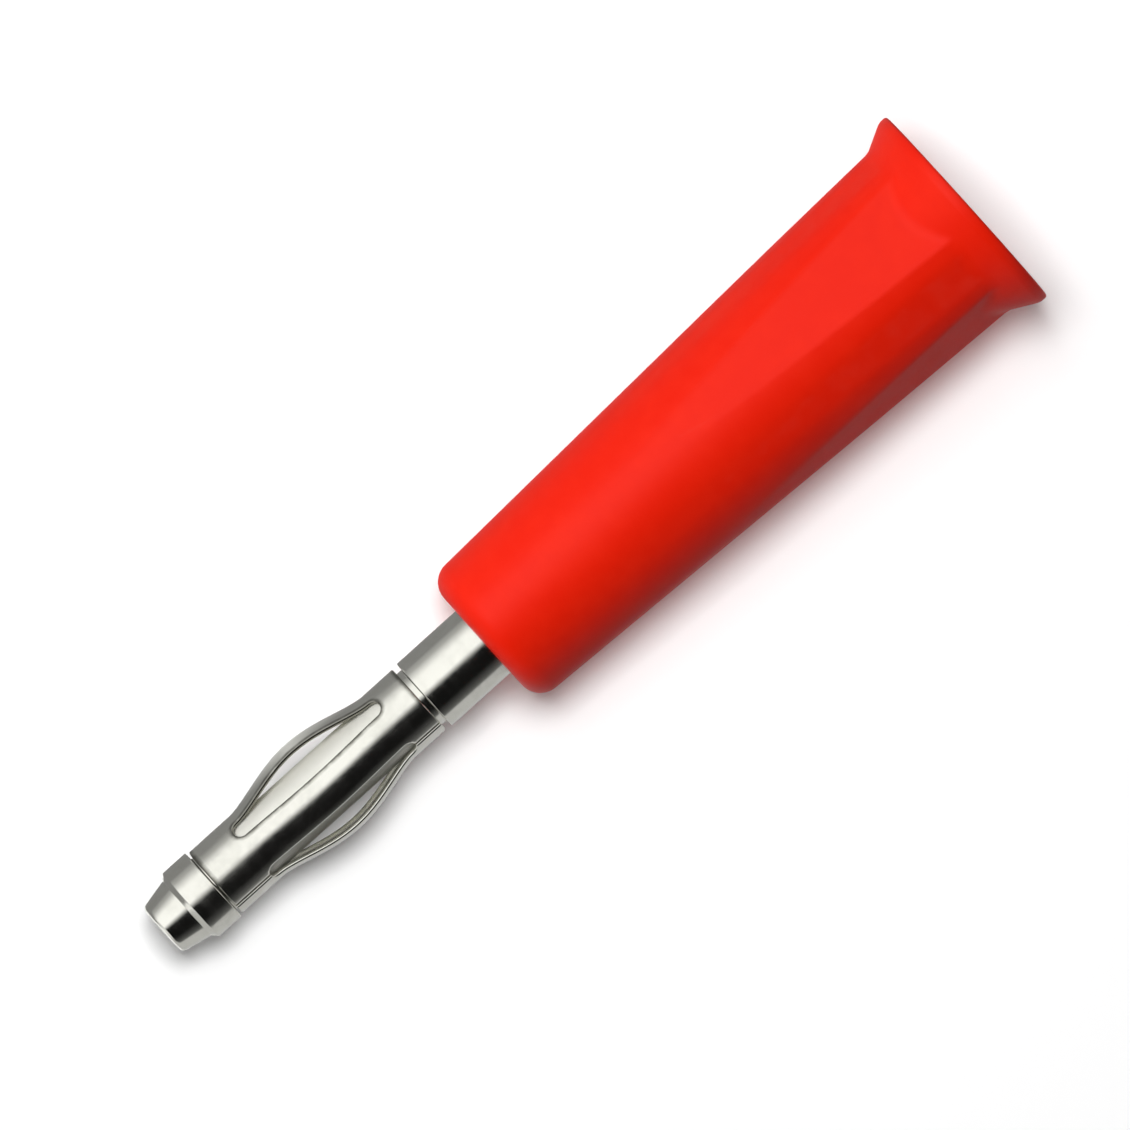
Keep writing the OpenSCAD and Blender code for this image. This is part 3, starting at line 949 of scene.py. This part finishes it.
plug_only = lit_group("lit plug", [handle, stud, spring])
floor_only = lit_group("lit floor", [floor])
soft_light("key", direction=(0.45, -0.87, 0.22), away=250, size=170, brightness=1.07, lit=plug_only)
soft_light("floor light", direction=(0.16, -1.0, -0.08), away=300, size=110, brightness=0.8, lit=floor_only)
soft_light("floor fill", direction=(0.36, -1.0, -0.08), away=300, size=150, brightness=0.36, lit=floor_only)
soft_light("low fill", direction=(-0.8, -0.3, -0.55), away=60, size=30, brightness=0.04, lit=plug_only)
soft_light("rear fill", direction=(0.4, 1.0, 0.3), away=400, size=200, brightness=0.5, lit=plug_only)
world = bpy.data.worlds.new("studio")
bpy.context.scene.world = world
world.use_nodes = True
tree = world.node_tree
tree.nodes.clear()
strength = spread(tree, seen_rays(tree)[0], 0.0, 1.0, WORLD_LIGHT, 1.0)
background = add(tree, "ShaderNodeBackground", {"Strength": strength}).outputs[0]
add(tree, "ShaderNodeOutputWorld", {"Surface": background})

# %% [markdown]
# The photograph looks square at the plug's axis from far away, so there is hardly any perspective: a long
# lens at one and a half metres gives the same. The plug lies across the picture at 42 degrees with its
# tip at the lower left, which is a roll of the camera and not a move of the plug.
# %% Camera
PHOTO_PIXELS = 1130
PIXELS_PER_MM = 21.2
MIDDLE_PIXEL = np.array([564.6, 568.3])
AXIS_ANGLE = math.radians(42)
LENS = 1000.0
CLIP_NEAR, CLIP_FAR = 0.1, 10.0
camera_data = bpy.data.cameras.new("camera")
camera_data.lens = LENS
camera_data.clip_start = CLIP_NEAR
camera_data.clip_end = CLIP_FAR
camera = bpy.data.objects.new("camera", camera_data)
bpy.context.scene.collection.objects.link(camera)
bpy.context.scene.camera = camera
right = np.array([-math.sin(AXIS_ANGLE), 0, -math.cos(AXIS_ANGLE)])
up = np.array([math.cos(AXIS_ANGLE), 0, -math.sin(AXIS_ANGLE)])
back = np.cross(right, up)
frame_width = PHOTO_PIXELS / PIXELS_PER_MM
camera_away = frame_width * LENS / camera_data.sensor_width
off_centre = (MIDDLE_PIXEL - PHOTO_PIXELS / 2) / PIXELS_PER_MM
aim = np.array([0, 0, TIP_Z / 2]) - right * off_centre[0] + up * off_centre[1]
camera_axes = Matrix(np.stack([right, up, back], 1))
camera.matrix_world = Matrix.LocRotScale((aim + back * camera_away) * MM, camera_axes, None)
bpy.context.scene.view_settings.view_transform = "Standard"
print(f"camera {camera_away:.0f} mm away, frame {frame_width:.1f} mm wide")
